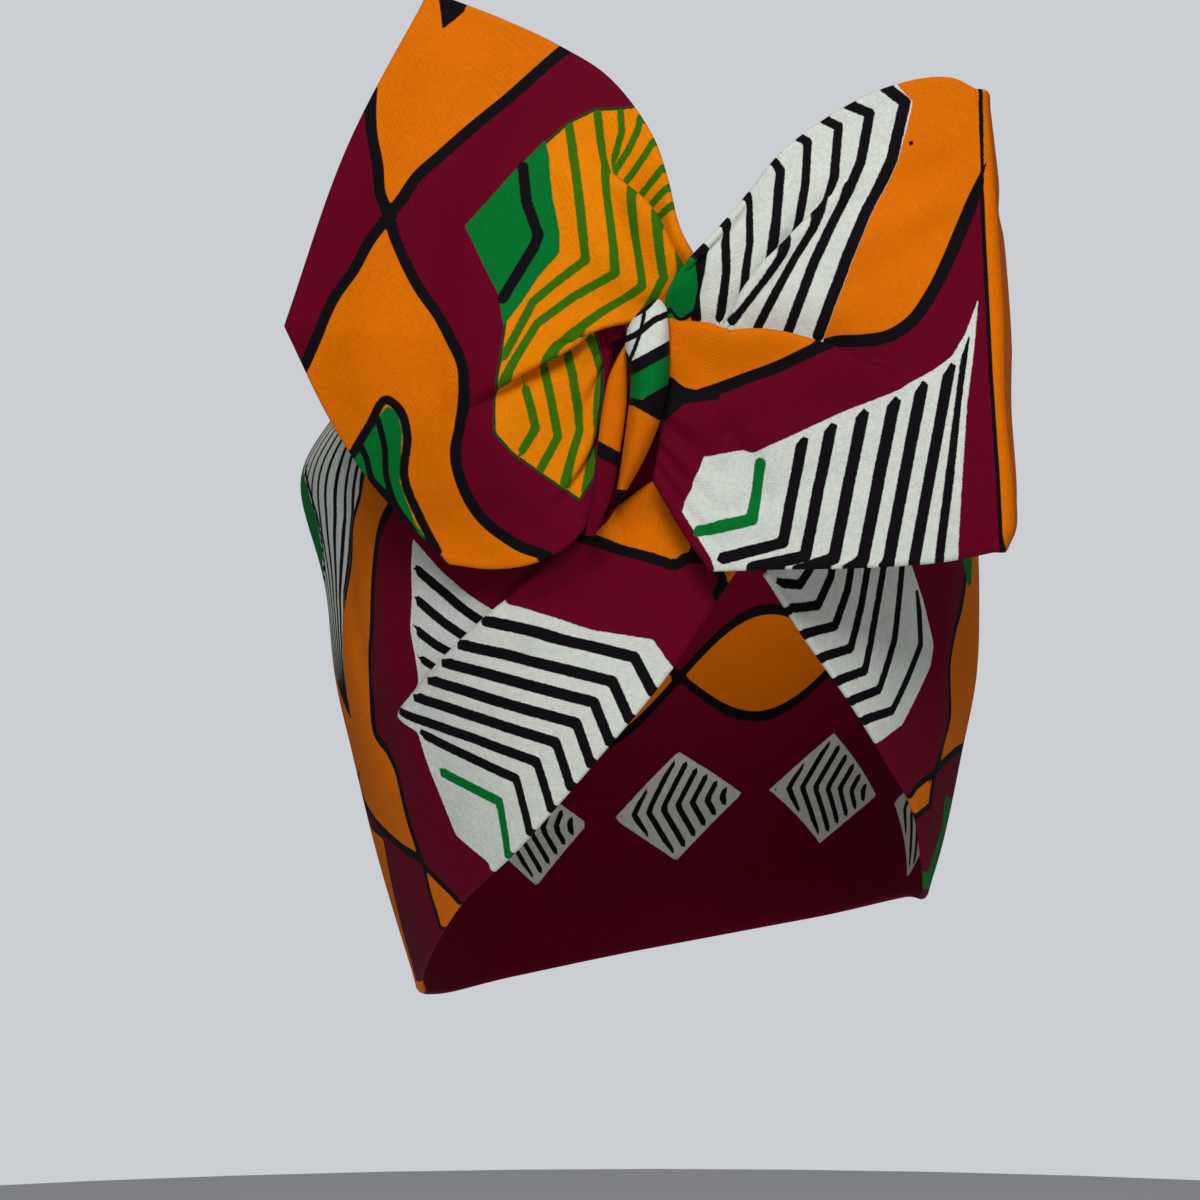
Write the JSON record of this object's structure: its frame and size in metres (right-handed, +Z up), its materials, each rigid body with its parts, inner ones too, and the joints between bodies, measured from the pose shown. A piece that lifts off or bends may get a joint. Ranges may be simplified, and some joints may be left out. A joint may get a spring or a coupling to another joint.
{
  "type": "wired head wrap",
  "caption": "Head wrap of one long strip of doubled printed cotton with wired edges, wound round the head from nape to forehead and tied in an upright bow of two flared ends.",
  "frame": {"origin": "middle of the head opening at the level where the band grips the head", "axes": "+X to the viewer's right, +Y away from the viewer towards the nape, +Z up"},
  "size_m": [0.1727, 0.2261, 0.2419],
  "materials": {
    "printed_cotton_band": "matte doubled cotton, maroon and orange wax print with white and black striped lozenges",
    "printed_cotton_left": "matte doubled cotton, orange and maroon wax print with green striped lozenges",
    "printed_cotton_right": "matte doubled cotton, white and black striped lozenges on maroon and orange",
    "printed_cotton_knot": "matte wound cotton, bands of white, black, green and orange",
    "printed_cotton_side_fold": "matte folded cotton, orange, black and maroon"
  },
  "bodies": {
    "root": {"head_band": "printed_cotton_band", "left_wing": "printed_cotton_left", "right_wing": "printed_cotton_right", "knot": "printed_cotton_knot", "knot_side_fold": "printed_cotton_side_fold"}
  },
  "joints": []
}
